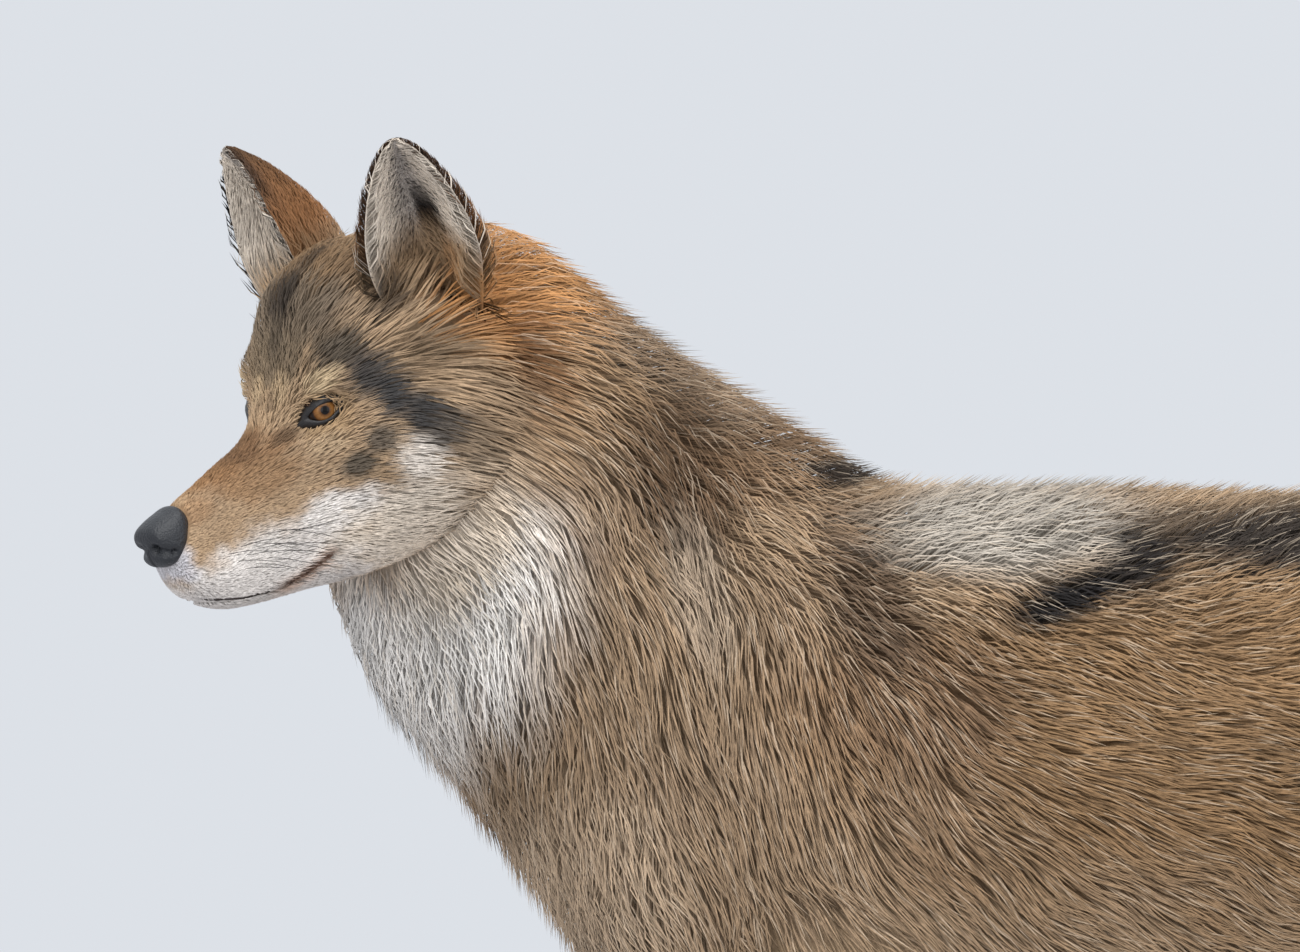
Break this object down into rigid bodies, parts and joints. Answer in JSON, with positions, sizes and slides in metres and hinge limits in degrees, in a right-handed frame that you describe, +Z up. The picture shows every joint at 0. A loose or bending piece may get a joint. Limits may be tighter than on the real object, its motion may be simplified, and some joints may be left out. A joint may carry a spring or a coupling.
{
  "type": "grey wolf figure, standing, life size",
  "caption": "Life-size grey wolf in winter coat, standing still on all its paws with the head turned to its left.",
  "frame": {"origin": "on the floor under the middle of the bounding box", "axes": "+X from nose to tail, +Y to the right side of the wolf, +Z up"},
  "size_m": [1.2918, 0.325, 1.0054],
  "materials": {
    "head_fur": "short dense winter fur, grey-brown with a dark temple and a pale cheek",
    "muzzle_fur": "short whitish fur of the lips and chin",
    "nose_skin": "moist pebbled blue-black skin",
    "eye": "wet amber eye with a round black pupil",
    "ear_fur": "short rust-brown fur outside, pale hair in the cup",
    "ruff_fur": "long grizzled tan ruff, rust at the nape, cream at the throat",
    "body_fur": "long winter coat, tan with dark tips and a black saddle",
    "tail_fur": "bushy grey-brown tail with a black tip",
    "leg_fur": "short pale tan fur",
    "claw": "dark horn, worn at the tip"
  },
  "bodies": {
    "root": {"head": "head_fur", "lower_jaw": "muzzle_fur", "nose": "nose_skin", "eye_left": "eye", "eye_right": "eye", "ear_left": "ear_fur", "ear_right": "ear_fur", "neck": "ruff_fur", "chest": "body_fur", "torso": "body_fur", "tail": "tail_fur", "front_forearm_left": "leg_fur", "front_pastern_left": "leg_fur", "front_paw_left": "leg_fur", "hind_thigh_left": "leg_fur", "hind_shank_left": "leg_fur", "hind_paw_left": "leg_fur", "front_dewclaw_left": "claw", "front_claw_left_1": "claw", "front_claw_left_2": "claw", "front_claw_left_3": "claw", "front_claw_left_4": "claw", "hind_claw_left_1": "claw", "hind_claw_left_2": "claw", "hind_claw_left_3": "claw", "hind_claw_left_4": "claw", "front_forearm_right": "leg_fur", "front_pastern_right": "leg_fur", "front_paw_right": "leg_fur", "hind_thigh_right": "leg_fur", "hind_shank_right": "leg_fur", "hind_paw_right": "leg_fur", "front_dewclaw_right": "claw", "front_claw_right_1": "claw", "front_claw_right_2": "claw", "front_claw_right_3": "claw", "front_claw_right_4": "claw", "hind_claw_right_1": "claw", "hind_claw_right_2": "claw", "hind_claw_right_3": "claw", "hind_claw_right_4": "claw"}
  },
  "joints": []
}
